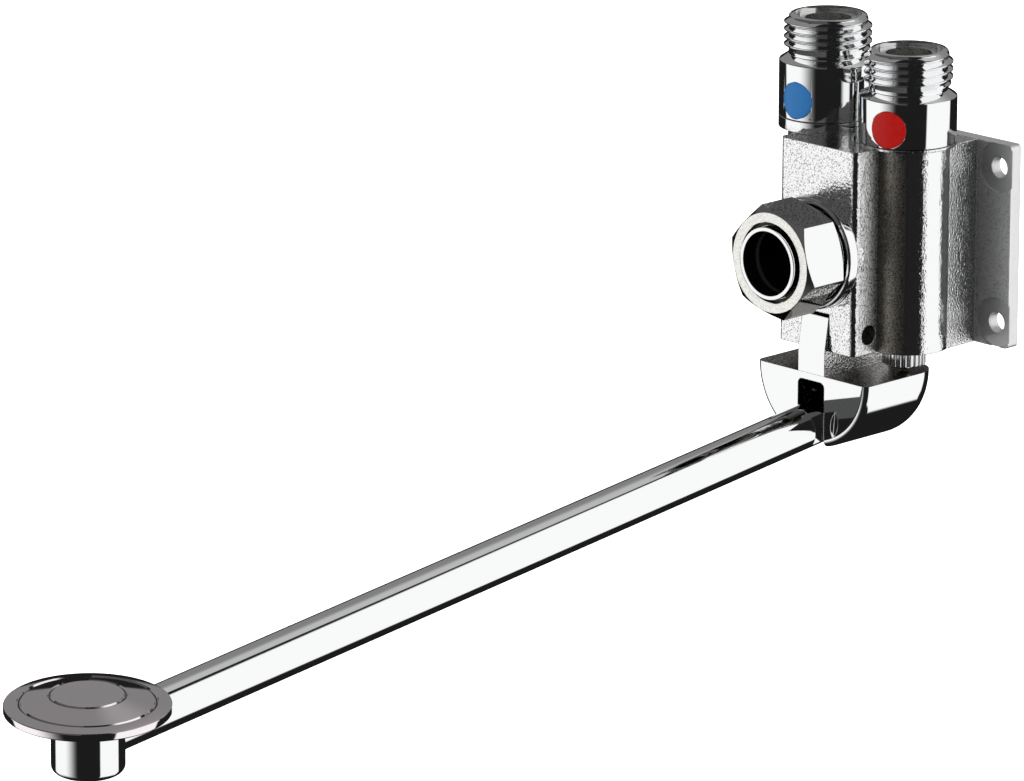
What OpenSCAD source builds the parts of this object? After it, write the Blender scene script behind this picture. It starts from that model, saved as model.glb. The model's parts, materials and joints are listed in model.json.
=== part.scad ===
// Foot-operated basin tap with a hot and a cold inlet, screwed to a wall.
// Pressing the pedal rocks the yoke about its pin. The yoke's flat top then
// lifts two valve stems, and mixed water leaves by the front outlet.
// Millimetres, +Z up. Y = 0 is the wall, and -Y points into the room.
// The origin is the middle of the wall plate's back face.

/* [Wall plate] */
// Width of the wall plate
plate_w = 64.8; // [63:0.2:72]
// Height of the wall plate and of the casting
plate_h = 49.3; // [48:0.1:54]
// Thickness of the wall plate
plate_t = 3.4; // [3:0.1:5]
// Radius of the wall plate's corners
plate_corner_r = 1; // [0.5:0.5:3]
// Distance from the screw holes to the plate's upright sides
screw_edge_x = 4; // [3.6:0.1:4.6]
// Distance from the screw holes to the plate's top and bottom
screw_edge_z = 5.85; // [5.2:0.05:7]
// Diameter of the screw holes
screw_hole_d = 5; // [4.5:0.1:6.5]
// Diameter of the machined ring round each screw hole
spot_face_d = 12; // [9:0.5:13]
// Depth of the machined ring
spot_face_depth = 0.4; // [0.2:0.1:0.8]

/* [Casting] */
// Distance between the hot and the cold barrel axes
barrel_space = 26; // [25:0.2:28]
// Distance from the wall to the barrel axes
barrel_y = 18.2; // [17.5:0.1:20]
// Diameter of the cast barrels
barrel_d = 19.6; // [19.4:0.1:21]
// How far the barrels' cast skin lies behind their bores
barrel_set_back = 0.8; // [0:0.1:0.9]
// Width of the neck that joins the barrels to the plate
neck_w = 43.6; // [42:0.2:45]
// Width of the front block
block_w = 24.6; // [23:0.2:26]
// Distance from the wall to the block's front face
block_y = 35.1; // [34:0.1:37]
// Radius of the block's upright front edges
block_edge_r = 1.6; // [0.5:0.1:2]
// Height of the cold barrel's boss above the block
cold_boss_h = 2.7; // [1.5:0.1:5]
// Height of the hot barrel's boss above the block
hot_boss_h = 0.65; // [0.4:0.05:3]
// Depth of the hollows in the casting's back
back_pocket_depth = 6; // [4:0.5:6.5]
// Width of the ribs between the hollows
back_rib = 6; // [4:0.5:8]

/* [Inlet nipples] */
// Outer diameter of the inlet threads, a G1/2 pipe thread
thread_d = 20.955; // [20.8:0.005:21.1]
// Pitch of the inlet threads
thread_pitch = 1.814; // [1.5:0.001:2.2]
// Number of thread ridges on each nipple
thread_turns = 5; // [4:1:7]
// Height of the plain neck under the thread
thread_relief_h = 0.5; // [0.3:0.1:1.5]
// Diameter of the polished collars
collar_d = 23.1; // [22.6:0.1:24]
// Height of the cold nipple's collar
cold_collar_h = 13.5; // [12:0.1:18]
// Height of the hot nipple's collar
hot_collar_h = 11.2; // [10.5:0.1:18]
// Height of the cone between collar and thread
collar_cone_h = 1.2; // [0.8:0.1:1.8]
// Diameter of the coloured index discs
index_d = 8.8; // [7:0.1:9.2]
// Height of the cold disc's middle above its collar's lower edge
cold_index_rise = 5; // [4.8:0.1:5.6]
// Height of the hot disc's middle above its collar's lower edge
hot_index_rise = 4.7; // [4.7:0.1:5.6]
// How far the index discs stand out of the collars
index_proud = 0.15; // [0.1:0.05:0.4]
// Turn of the cold disc from straight ahead
cold_index_turn = 3; // [-30:0.5:30]
// Turn of the hot disc from straight ahead
hot_index_turn = 18.5; // [-30:0.5:30]
// Diameter of the nipples' screwed spigots
spigot_d = 16.3; // [16:0.1:16.8]
// Depth of the nipple sockets below the block's top
socket_depth = 8.2; // [7:0.1:10]

/* [Strainers and check valves] */
// Diameter of the strainer flange
strainer_flange_d = 15.8; // [15:0.1:16.4]
// Diameter of the strainer basket
strainer_d = 12; // [11:0.1:12.4]
// Depth of the strainer basket
strainer_depth = 4.5; // [3:0.1:4.8]
// Diameter of the check valve housing
check_d = 13.9; // [13.4:0.1:14.2]
// Length of the check valve housing
check_h = 11; // [10:0.1:12]
// Diameter of the hole that the check poppet closes
check_port_d = 7.2; // [6:0.1:7.6]
// Diameter of the check poppet
poppet_d = 9.2; // [8.6:0.1:10]
// Travel of the check poppet
poppet_travel = 2; // [1:0.1:2.2]

/* [Valves] */
// Diameter of the valve chamber above each seat
chamber_d = 14.4; // [14:0.1:14.8]
// Diameter of the mixing passage between the two valves
passage_d = 9; // [7:0.1:10]
// Bore of the valve seats
seat_bore_d = 9; // [7:0.1:9.4]
// Thickness of the valve seats
seat_t = 2.5; // [2:0.1:3]
// Height of the seats' raised lip
seat_lip_h = 0.8; // [0.4:0.1:1]
// Height of the casting's ledge under the seats above the plate's middle
seat_ledge_z = 5; // [4.6:0.1:6]
// Diameter of the valve washers
washer_d = 12.4; // [11.6:0.1:12.6]
// Thickness of the valve washers
washer_t = 2.4; // [2:0.1:2.8]
// Diameter of the valve stems
stem_d = 4; // [3.5:0.1:4.6]
// Diameter of the stems' screwed upper ends
stem_tip_d = 3; // [2.4:0.1:3.2]
// Thickness of the washer caps
cap_t = 1.6; // [1.4:0.1:2]
// Mean diameter of the valve return springs
return_spring_d = 10.2; // [9.6:0.1:10.8]
// Wire diameter of the valve return springs
return_wire_d = 0.9; // [0.7:0.1:1]

/* [Glands] */
// Diameter of the gland nuts' ribbed heads
gland_head_d = 10.4; // [10.2:0.1:11.4]
// Height of the gland nuts' heads
gland_head_h = 4; // [3.4:0.1:4.2]
// Diameter of the gland nuts' screwed part
gland_d = 8.6; // [8.2:0.1:8.7]
// Length of the gland nuts' screwed part
gland_h = 8.6; // [8:0.1:9.4]
// Number of ribs round each gland nut
gland_ribs = 24; // [12:1:26]
// Cord diameter of the stem O-rings
stem_seal_cord = 1.4; // [1.2:0.1:1.6]

/* [Outlet] */
// Height of the outlet axis from the plate's middle
outlet_z = -1.1; // [-1.6:0.1:-0.8]
// Diameter of the polished outlet collar
outlet_collar_d = 27; // [25:0.1:27.2]
// Thickness of the outlet collar
outlet_collar_t = 2.9; // [2.5:0.1:4]
// Diameter of the threaded outlet spigot
outlet_spigot_d = 19.8; // [19.4:0.1:20]
// Length of the threaded outlet spigot
outlet_spigot_l = 8.5; // [8:0.1:10]
// Bore that takes the spout's tail
outlet_bore_d = 15.4; // [14:0.1:15.6]
// Wall of the tail sleeve
tail_wall = 0.95; // [0.8:0.05:1]
// Thickness of the sleeve's flange
tail_flange_t = 1.2; // [1:0.1:1.4]
// How far the sleeve stands out of the nut
tail_proud = 1; // [0.5:0.1:2]
// Thickness of the outlet washer
outlet_washer_t = 1.2; // [1:0.1:1.4]
// Size across the flats of the outlet nut
nut_flats = 24.2; // [23.4:0.1:26]
// Length of the outlet nut
nut_l = 12; // [11.6:0.1:12.4]
// Turn of the outlet nut's corners from level
nut_turn = -15; // [-30:1:30]
// Diameter of the recess in the nut's face
nut_recess_d = 19.2; // [18:0.1:19.8]
// Depth of the recess in the nut's face
nut_recess_depth = 1; // [0.6:0.1:1.1]

/* [Yoke] */
// Distance from the wall to the yoke pin
pivot_y = 29.9; // [29.5:0.1:30.3]
// Height of the yoke pin above the casting's bottom
pivot_rise = 4.55; // [4.25:0.05:4.85]
// Diameter of the yoke pin
pivot_d = 4.6; // [4:0.1:4.8]
// How far the yoke pin's ends lie under the block's sides
pivot_recess = 2.8; // [1:0.1:3]
// Wall of the bush round the yoke pin
bush_wall = 0.8; // [0.6:0.1:1]
// Width of the yoke's upright web
web_w = 8.5; // [8:0.1:8.8]
// Radius of the web's eye round the pin
eye_r = 4.2; // [4.1:0.05:4.4]
// How far the web leans out of its slot above the shoe
web_lean = 1.3; // [1.1:0.1:2.4]
// Distance from the wall to the web's back edge
web_back_y = 14; // [13.6:0.1:14.6]
// Radius of the yoke's half-round shoe
shoe_r = 17.9; // [16.8:0.1:18.2]
// Distance from the wall to the shoe's back
shoe_back_y = 10.7; // [9.6:0.1:11]
// Depth of the shoe's flat top below the casting
shoe_top_drop = 5.95; // [5.75:0.05:6.75]
// Rounding of the shoe's front edge
shoe_front_round = 1.8; // [0.5:0.1:2]
// Rounding of the shoe's back edge
shoe_back_round = 6.7; // [3:0.1:7.2]
// Width of the slot that holds the rod
slot_w = 8.5; // [8.2:0.1:9]
// Thickness of the shoe above the slot
slot_roof = 1.7; // [1.5:0.1:2]
// Rounding of the slot's upper corners
slot_round = 1.3; // [0.8:0.1:2]

/* [Lever rod] */
// Diameter of the rod
rod_d = 10.5; // [10:0.1:11]
// Distance from the wall to the rod's pin
rod_pin_y = 24.5; // [24.2:0.1:25]
// Depth of the rod's pin below the shoe's flat top
rod_pin_drop = 10.8; // [10.4:0.1:11.4]
// Diameter of the rod's pin
rod_pin_d = 5; // [4:0.1:5.2]
// Depth of the rod pin's blind hole in the right cheek
rod_pin_blind = 5.5; // [4:0.1:6]
// Slope of the rod down towards the pedal
rod_slope = 6.8; // [4:0.1:8]
// Distance from the wall to the pedal's middle
pedal_y = 262.4; // [150:0.1:320]
// Length of the flats in front of the shoe
rod_flat_l = 3.8; // [3.4:0.1:12]

/* [Pedal] */
// Diameter of the pedal disc
pedal_d = 36.6; // [30:0.1:46]
// Thickness of the pedal disc's rim
pedal_rim_t = 2.3; // [1.6:0.1:2.6]
// Diameter of the groove round the disc's cone
pedal_groove_d = 29.2; // [26:0.1:29.6]
// Diameter of the raised middle
pedal_middle_d = 16.6; // [12:0.1:20]
// Rise of the middle above the rim
pedal_rise = 1.7; // [1:0.1:2.5]
// Width of the turned grooves
groove_w = 0.6; // [0.4:0.1:0.8]
// Diameter of the stub under the disc
stub_d = 16.2; // [14.8:0.1:18]
// Length of the stub
stub_l = 13.65; // [13.5:0.05:16]
// Rounding of the stub's lower edge
stub_round = 1.5; // [0.5:0.1:2]
// Distance from the disc's rim down to the rod's axis
rod_below_rim = 8.9; // [8.4:0.1:9.2]
// Lean of the pedal towards the foot
pedal_tilt = 2; // [0:0.5:6]
// Turn of the pedal about the rod, its right side down
pedal_roll = 3; // [-5:0.5:5]
// Diameter of the pedal screw
pedal_screw_d = 4; // [3:0.1:5]

/* [Clearances] */
// Radial clearance of turning and sliding fits
run_clear = 0.05; // [0.02:0.01:0.08]
// Radial clearance of screwed and pushed-in pieces
seat_clear = 0.05; // [0.02:0.01:0.1]
// Side clearance of the web and of the rod's flats
side_clear = 0.2; // [0.1:0.05:0.3]
// Gap between pieces that only touch when the tap works
rest_gap = 0.15; // [0.1:0.05:0.2]

/* [Hidden] */
$fn = 96;
eps = 0.02;

top_z = plate_h / 2;
screw_x = plate_w / 2 - screw_edge_x;
screw_z = top_z - screw_edge_z;
barrel_x = barrel_space / 2;
barrel_skin_y = barrel_y - barrel_set_back;
cold_top_z = top_z + cold_boss_h;
hot_top_z = top_z + hot_boss_h;

// Inlet nipples
thread_r = thread_d / 2;
thread_depth = 0.64 * thread_pitch;
thread_l = thread_turns * thread_pitch;
index_pocket_depth = 1.2;
pocket_r = collar_d / 2 - index_pocket_depth;
neck_and_thread_l = collar_cone_h + thread_relief_h + thread_l;
cold_end_z = cold_top_z + cold_collar_h + neck_and_thread_l;
hot_end_z = hot_top_z + hot_collar_h + neck_and_thread_l;
spigot_r = spigot_d / 2;
socket_r = spigot_r + seat_clear;
socket_z = top_z - socket_depth;
nipple_washer_t = 1;
spigot_z = socket_z + nipple_washer_t;
check_bore_r = check_d / 2 + seat_clear;
check_top_z = spigot_z + check_h;
check_floor_t = 1.5;
poppet_top_z = check_top_z - check_floor_t - rest_gap;
poppet_disc_t = 1.6;
poppet_stop_z = poppet_top_z - poppet_disc_t - poppet_travel - run_clear;
check_spring_r = 3.7;
check_wire_r = 0.3;
check_coils = 5;
spring_gap = 0.05;
poppet_stem_r = 1.2;
foot_port_r = 0.8;
foot_port_mid_r = 2.5;
inlet_bore_r = strainer_d / 2 + 0.3;
flange_bore_r = strainer_flange_d / 2 + seat_clear;
strainer_flange_t = 0.8;
strainer_sunk = 1;

// Valves, from the seat upwards
chamber_r = chamber_d / 2;
seat_top_z = seat_ledge_z + seat_t;
lip_top_z = seat_top_z + seat_lip_h;
washer_z = lip_top_z + rest_gap;
cap_z = washer_z + washer_t;
spring_z = cap_z + cap_t;
cap_guide_h = 0.8;
return_coils = 3;
outlet_chamber_r = seat_bore_d / 2 + 0.6;
stem_r = stem_d / 2;

// Glands and stems, below the seat
gland_top_z = -top_z + gland_h;
gland_bottom_z = -top_z - gland_head_h;
seal_r = stem_seal_cord / 2;
seal_mid_r = stem_r + run_clear + seal_r;
seal_below_top = 2.5;
seal_z = gland_top_z - seal_below_top;
shoe_top_z = -top_z - shoe_top_drop;
stem_bottom_z = shoe_top_z + rest_gap;
stem_dome_r = 1.5 * stem_r;

// Outlet, from the block forwards
collar_front_y = -block_y - outlet_collar_t;
spigot_front_y = collar_front_y - outlet_spigot_l;
flange_back_y = spigot_front_y - outlet_washer_t;
flange_front_y = flange_back_y - tail_flange_t;
nut_web_t = 0.95;
nut_front_y = flange_front_y - seat_clear - nut_web_t - nut_recess_depth;
nut_back_y = nut_front_y + nut_l;
outlet_bore_r = outlet_bore_d / 2;
sleeve_r = outlet_bore_r + tail_wall;
spigot_r_out = outlet_spigot_d / 2;
nut_bore_r = spigot_r_out + seat_clear;
tail_stop_y = spigot_front_y + 6;

// Yoke
pivot_z = -top_z + pivot_rise;
pivot_r = pivot_d / 2;
bush_r = pivot_r + run_clear + bush_wall;
body_slot_w = web_w + 2 * side_clear;
shoe_front_y = -block_y - web_lean;
slot_roof_z = shoe_top_z - slot_roof;
rod_pin_z = shoe_top_z - rod_pin_drop;
rod_pin_r = rod_pin_d / 2;
rod_r = rod_d / 2;
heel = rod_r;
slot_back_y = -rod_pin_y + heel + rest_gap;
tongue_w = slot_w - 2 * side_clear;
cheek_x = sqrt(pow(shoe_r, 2) - pow(shoe_top_z - rod_pin_z, 2));

// Pedal
rod_run = (pedal_y - rod_pin_y) / cos(rod_slope);
rod_end_z = rod_pin_z - rod_run * sin(rod_slope);
stub_top = -pedal_rim_t;
stub_bottom = stub_top - stub_l;
rod_bore_r = rod_r + seat_clear;
stub_wall = 2.5;
screw_head_r = pedal_screw_d;
screw_head_h = 1.3;
screw_sink = 1.4;
screw_hex_r = 1.4;
screw_hex_depth = 0.8;
screw_hole_cover = 0.8;
screw_tip_cover = 1.2;

module at_cold() { translate([-barrel_x, -barrel_y, 0]) children(); }
module at_hot() { translate([barrel_x, -barrel_y, 0]) children(); }
module forwards(y) { translate([0, y, 0]) rotate([90, 0, 0]) children(); }
module crosswise() { rotate([90, 0, 90]) children(); }
module about_rod(turn) {
  rotate([rod_slope, 0, 0]) rotate([0, turn, 0]) rotate([-rod_slope, 0, 0]) children();
}
module at_pedal() {
  translate([0, -pedal_y, rod_end_z]) about_rod(pedal_roll) translate([0, 0, rod_below_rim])
    rotate([pedal_tilt, 0, 0]) children();
}

module ring(outer_r, inner_r, z, h) {
  translate([0, 0, z]) difference() {
    cylinder(r = outer_r, h = h);
    translate([0, 0, -eps]) cylinder(r = inner_r, h = h + 2 * eps);
  }
}

module rounded_rect(w, h, r) {
  square([w - 2 * r, h], center = true);
  square([w, h - 2 * r], center = true);
  for (sx = [-1, 1], sz = [-1, 1])
    translate([sx * (w / 2 - r), sz * (h / 2 - r)]) circle(r = r);
}

// A compression spring as stacked rings joined by an upright wire at one side
module ring_spring(mean_r, wire_r, z, h, turns) {
  pitch = (h - 2 * wire_r) / turns;
  for (i = [0 : turns])
    translate([0, 0, z + wire_r + i * pitch])
      rotate_extrude() translate([mean_r, 0]) circle(r = wire_r, $fn = 24);
  translate([mean_r, 0, z + wire_r]) cylinder(r = 0.8 * wire_r, h = h - 2 * wire_r, $fn = 24);
}

module bore_set(top) {
  translate([0, 0, socket_z]) cylinder(r = socket_r, h = top - socket_z + 1);
  translate([0, 0, seat_ledge_z]) cylinder(r = chamber_r, h = socket_z - seat_ledge_z + eps);
  translate([0, 0, gland_top_z]) cylinder(r = outlet_chamber_r, h = seat_ledge_z - gland_top_z + eps);
  translate([0, 0, -top_z - 1]) cylinder(r = gland_d / 2 + seat_clear, h = gland_h + 1 + eps);
}

module back_pockets() {
  pocket_w = (neck_w - 3 * back_rib) / 2;
  pocket_h = (plate_h - 3 * back_rib) / 2;
  for (sx = [-1, 1], sz = [-1, 1])
    translate([sx * (back_rib + pocket_w) / 2, 1, sz * (back_rib + pocket_h) / 2])
      rotate([90, 0, 0]) linear_extrude(back_pocket_depth + 1) rounded_rect(pocket_w, pocket_h, 2);
}

module screw_holes() {
  for (sx = [-1, 1], sz = [-1, 1])
    translate([sx * screw_x, 0, sz * screw_z]) {
      forwards(1) cylinder(d = screw_hole_d, h = plate_t + 2);
      intersection() {
        forwards(-plate_t + spot_face_depth) cylinder(d = spot_face_d, h = 3);
        translate([sx * (neck_w / 2 - screw_x + plate_w / 2), 0, 0]) cube(plate_w, center = true);
      }
    }
}

// Polished collar and threaded spigot, about the outlet axis, in front of the block
module outlet_boss() {
  edge = 0.8;
  r = outlet_collar_d / 2;
  translate([0, 0, outlet_z]) {
    forwards(-block_y + 3) cylinder(r = r - edge, h = outlet_collar_t + 3);
    forwards(-block_y + eps) cylinder(r = r, h = outlet_collar_t - edge + eps);
    forwards(collar_front_y + edge) rotate_extrude() translate([r - edge, 0]) circle(r = edge, $fn = 32);
    forwards(collar_front_y + 1) cylinder(r = spigot_r_out, h = outlet_spigot_l + 1);
  }
}

module body_shell() {
  forwards(0) linear_extrude(plate_t) rounded_rect(plate_w, plate_h, plate_corner_r);
  translate([-neck_w / 2, -barrel_y, -top_z]) cube([neck_w, barrel_y - plate_t / 2, plate_h]);
  translate([0, 0, -top_z]) linear_extrude(plate_h)
    translate([0, -(block_y + barrel_y) / 2]) rounded_rect(block_w, block_y - barrel_y, block_edge_r);
  translate([-block_w / 2, -barrel_y - 3, -top_z]) cube([block_w, 6, plate_h]);
  for (s = [-1, 1])
    translate([s * barrel_x, -barrel_skin_y, -top_z]) cylinder(d = barrel_d, h = plate_h);
  at_cold() translate([0, 0, top_z - eps]) cylinder(d = collar_d, h = cold_boss_h + eps);
  at_hot() translate([0, 0, top_z - eps]) cylinder(d = collar_d, h = hot_boss_h + eps);
  outlet_boss();
}

module valve_body() {
  slot_top_z = pivot_z + eye_r + 0.3;
  slot_back = web_back_y - 1.5;
  color("silver") difference() {
    body_shell();
    at_cold() bore_set(cold_top_z);
    at_hot() bore_set(hot_top_z);
    // Mixing passage between the two valves
    translate([-barrel_x, -barrel_y, outlet_z]) rotate([0, 90, 0]) cylinder(d = passage_d, h = barrel_space);
    // Way out through the spigot, and its wider mouth for the spout's tail
    translate([0, 0, outlet_z]) forwards(-barrel_y) cylinder(d = passage_d + 1, h = block_y);
    translate([0, 0, outlet_z]) forwards(tail_stop_y) cylinder(r = outlet_bore_r, h = 20);
    // Slot that the web rocks in, open to the front and the bottom
    translate([-body_slot_w / 2, -block_y - 10, -top_z - 1])
      cube([body_slot_w, block_y + 10 - slot_back, slot_top_z + top_z + 1]);
    translate([-block_w, -pivot_y, pivot_z]) rotate([0, 90, 0])
      cylinder(r = pivot_r + seat_clear, h = 2 * block_w);
    back_pockets();
    screw_holes();
  }
}

// Thread ridges as rings, each with a narrow flat crest
module thread_rings(z) {
  root_r = thread_r - thread_depth;
  crest = thread_pitch / 8;
  for (i = [0 : thread_turns - 1])
    translate([0, 0, z + i * thread_pitch]) rotate_extrude() polygon([
      [root_r - 1, 0],
      [root_r, 0],
      [thread_r, (thread_pitch - crest) / 2],
      [thread_r, (thread_pitch + crest) / 2],
      [root_r, thread_pitch],
      [root_r - 1, thread_pitch]
    ]);
}

module index_blank(z, turn, from_r, to_r, d) {
  translate([0, 0, z]) rotate([0, 0, turn]) forwards(-from_r) cylinder(d = d, h = to_r - from_r);
}

module nipple(z, collar_h, rise, turn) {
  cone_z = z + collar_h;
  thread_z = cone_z + collar_cone_h + thread_relief_h;
  end_z = thread_z + thread_l;
  root_r = thread_r - thread_depth;
  difference() {
    union() {
      translate([0, 0, spigot_z]) cylinder(r = spigot_r, h = z - spigot_z + 1);
      translate([0, 0, z]) cylinder(d = collar_d, h = collar_h);
      translate([0, 0, cone_z]) cylinder(d1 = collar_d, r2 = root_r, h = collar_cone_h);
      translate([0, 0, cone_z]) cylinder(r = root_r, h = end_z - cone_z);
      thread_rings(thread_z);
    }
    translate([0, 0, spigot_z - 1]) cylinder(r = check_bore_r, h = check_h + 1);
    translate([0, 0, check_top_z - eps]) cylinder(r = inlet_bore_r, h = end_z);
    translate([0, 0, end_z - strainer_sunk - strainer_flange_t]) cylinder(r = flange_bore_r, h = 5);
    index_blank(z + rise, turn, pocket_r, collar_d, index_d + 2 * seat_clear);
  }
}

module index_disc(z, rise, turn) {
  intersection() {
    index_blank(z + rise, turn, pocket_r, collar_d, index_d);
    cylinder(r = collar_d / 2 + index_proud, h = z + 2 * index_d);
  }
}

module strainer(end_z) {
  flange_z = end_z - strainer_sunk - strainer_flange_t;
  basket_r = strainer_d / 2;
  wall = 0.5;
  difference() {
    union() {
      translate([0, 0, flange_z]) cylinder(d = strainer_flange_d, h = strainer_flange_t);
      translate([0, 0, flange_z - strainer_depth]) cylinder(r = basket_r, h = strainer_depth + eps);
    }
    translate([0, 0, flange_z - strainer_depth + wall]) cylinder(r = basket_r - wall, h = strainer_depth + 5);
    for (row = [1 : 3], i = [0 : 6 * row - 1])
      rotate([0, 0, 60 / row * i]) translate([1.6 * row, 0, flange_z - strainer_depth - 1])
        cylinder(r = 0.5, h = 2, $fn = 24);
  }
}

module check_housing() {
  r = check_d / 2;
  bore_r = poppet_d / 2 + 0.8;
  difference() {
    translate([0, 0, spigot_z]) cylinder(r = r, h = check_h - rest_gap);
    translate([0, 0, spigot_z + check_floor_t])
      cylinder(r = check_spring_r + 0.5, h = check_h - 2 * check_floor_t);
    // Wider room for the poppet, whose floor stops it when it is fully open
    translate([0, 0, poppet_stop_z]) cylinder(r = bore_r, h = check_top_z - check_floor_t - poppet_stop_z);
    translate([0, 0, spigot_z]) cylinder(d = check_port_d, h = check_h + 1);
  }
  difference() {
    translate([0, 0, spigot_z]) cylinder(d = check_port_d + eps, h = check_floor_t);
    translate([0, 0, spigot_z - 1]) cylinder(r = poppet_stem_r + run_clear, h = check_floor_t + 2);
    for (i = [0 : 5])
      rotate([0, 0, 60 * i]) translate([foot_port_mid_r, 0, spigot_z - 1])
        cylinder(r = foot_port_r, h = check_floor_t + 2, $fn = 32);
  }
}

module check_poppet() {
  translate([0, 0, poppet_top_z - poppet_disc_t]) cylinder(d = poppet_d, h = poppet_disc_t);
  translate([0, 0, spigot_z + 0.2]) cylinder(r = poppet_stem_r, h = poppet_top_z - spigot_z - 0.2);
}

module check_spring() {
  low = spigot_z + check_floor_t + spring_gap;
  high = poppet_top_z - poppet_disc_t - spring_gap;
  ring_spring(check_spring_r, check_wire_r, low, high - low, check_coils);
}

module valve_seat() {
  ring(chamber_r - seat_clear, seat_bore_d / 2, seat_ledge_z, seat_t);
  ring(seat_bore_d / 2 + 1, seat_bore_d / 2, seat_top_z - eps, seat_lip_h + eps);
}

module valve_stem() {
  rotate_extrude() {
    translate([0, stem_bottom_z + stem_dome_r]) intersection() {
      circle(r = stem_dome_r);
      translate([0, -stem_dome_r]) square([stem_r, stem_dome_r]);
    }
    translate([0, stem_bottom_z + stem_dome_r - eps])
      square([stem_r, washer_z - stem_bottom_z - stem_dome_r + eps]);
    translate([0, washer_z - eps]) square([stem_tip_d / 2, spring_z + 1 - washer_z]);
  }
}

module valve_washer() {
  ring(washer_d / 2, stem_tip_d / 2 + seat_clear, washer_z, washer_t);
}

module washer_cap() {
  ring(washer_d / 2 + 0.3, stem_tip_d / 2 + seat_clear, cap_z, cap_t);
  guide_r = return_spring_d / 2 - return_wire_d / 2 - 0.3;
  ring(guide_r, stem_tip_d / 2 + seat_clear, spring_z - eps, cap_guide_h + eps);
}

module return_spring() {
  h = spigot_z - spring_z - 2 * spring_gap;
  ring_spring(return_spring_d / 2, return_wire_d / 2, spring_z + spring_gap, h, return_coils);
}

module gland_nut() {
  head_r = gland_head_d / 2;
  rib_r = 0.4;
  difference() {
    union() {
      translate([0, 0, gland_bottom_z]) cylinder(r = head_r - rib_r, h = gland_head_h);
      for (i = [0 : gland_ribs - 1])
        rotate([0, 0, 360 / gland_ribs * i]) translate([head_r - rib_r, 0, gland_bottom_z])
          cylinder(r = rib_r, h = gland_head_h, $fn = 24);
      translate([0, 0, -top_z - eps]) cylinder(d = gland_d, h = gland_h - rest_gap);
    }
    translate([0, 0, gland_bottom_z - 1]) cylinder(r = stem_r + run_clear, h = 30);
    ring(seal_mid_r + seal_r + seat_clear, 0.1, seal_z - seal_r - seat_clear, 2 * (seal_r + seat_clear));
  }
}

module stem_seal() {
  translate([0, 0, seal_z]) rotate_extrude() translate([seal_mid_r, 0]) circle(r = seal_r, $fn = 32);
}

module nipple_washer() {
  ring(socket_r - seat_clear, chamber_r, socket_z, nipple_washer_t);
}

module outlet_nut() {
  corner_r = nut_flats / sqrt(3);
  face_r = nut_flats / 2 - 0.15;
  bevel = (corner_r - face_r) * tan(30);
  color("gainsboro") translate([0, 0, outlet_z]) difference() {
    intersection() {
      forwards(nut_back_y) rotate([0, 0, nut_turn]) cylinder(r = corner_r, h = nut_l, $fn = 6);
      forwards(nut_back_y) union() {
        cylinder(r1 = face_r, r2 = corner_r + eps, h = bevel);
        translate([0, 0, bevel - eps]) cylinder(r = corner_r + eps, h = nut_l - 2 * bevel + 2 * eps);
        translate([0, 0, nut_l - bevel]) cylinder(r1 = corner_r + eps, r2 = face_r, h = bevel);
      }
    }
    forwards(nut_back_y + 1) cylinder(r = nut_bore_r, h = nut_back_y + 1 - (flange_front_y - seat_clear));
    forwards(nut_back_y + 1) cylinder(r = sleeve_r + seat_clear, h = nut_l + 2);
    forwards(nut_front_y + nut_recess_depth) cylinder(d = nut_recess_d, h = 3);
  }
}

module outlet_sleeve() {
  color("lightgray") translate([0, 0, outlet_z]) difference() {
    union() {
      forwards(flange_back_y) cylinder(r = nut_bore_r - 0.3, h = tail_flange_t);
      forwards(flange_back_y) cylinder(r = sleeve_r, h = flange_back_y - nut_front_y + tail_proud);
    }
    forwards(flange_back_y + 1) cylinder(r = outlet_bore_r, h = 20);
  }
}

module outlet_washer() {
  color("dimgray") translate([0, 0, outlet_z]) forwards(spigot_front_y)
    ring(nut_bore_r - 0.3, outlet_bore_r, 0, outlet_washer_t);
}

module yoke_pin() {
  l = block_w - 2 * pivot_recess;
  color("darkgray") translate([-l / 2, -pivot_y, pivot_z]) rotate([0, 90, 0]) cylinder(r = pivot_r, h = l);
}

module yoke_bush() {
  color("ivory") translate([-web_w / 2, -pivot_y, pivot_z]) rotate([0, 90, 0])
    ring(bush_r, pivot_r + run_clear, 0, web_w);
}

// Side outline of the web, with Y to the right and Z up
module web_outline() {
  top_rise = 3.6;
  back_rise = 1.2;
  translate([-pivot_y, pivot_z]) circle(r = eye_r);
  polygon([
    [-block_y, pivot_z + top_rise],
    [shoe_front_y, -top_z],
    [shoe_front_y, shoe_top_z - 1],
    [-web_back_y, shoe_top_z - 1],
    [-web_back_y, -top_z + back_rise],
    [-pivot_y + eye_r, pivot_z],
    [-pivot_y, pivot_z + top_rise]
  ]);
}

// Half-round shoe, its flat side up, with rounded front and back edges
module shoe() {
  l = -shoe_back_y - shoe_front_y;
  translate([0, shoe_front_y, shoe_top_z]) rotate([-90, 0, 0])
    rotate_extrude(angle = 180) {
      square([shoe_r - shoe_back_round, l]);
      translate([0, shoe_front_round]) square([shoe_r, l - shoe_front_round - shoe_back_round]);
      square([shoe_r - shoe_front_round, l - shoe_back_round]);
      translate([shoe_r - shoe_front_round, shoe_front_round]) circle(r = shoe_front_round);
      translate([shoe_r - shoe_back_round, l - shoe_back_round]) circle(r = shoe_back_round);
    }
}

module rod_slot() {
  h = 30;
  forwards(slot_back_y) linear_extrude(40) translate([0, slot_roof_z - h / 2])
    rounded_rect(slot_w, h, slot_round);
}

module lever_yoke() {
  color("silver") difference() {
    union() {
      shoe();
      translate([-web_w / 2, 0, 0]) crosswise() linear_extrude(web_w) web_outline();
    }
    rod_slot();
    translate([-web_w, -pivot_y, pivot_z]) rotate([0, 90, 0]) cylinder(r = bush_r, h = 2 * web_w);
    translate([-shoe_r, -rod_pin_y, rod_pin_z]) rotate([0, 90, 0])
      cylinder(r = rod_pin_r + seat_clear, h = shoe_r + slot_w / 2 + rod_pin_blind);
  }
}

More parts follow.
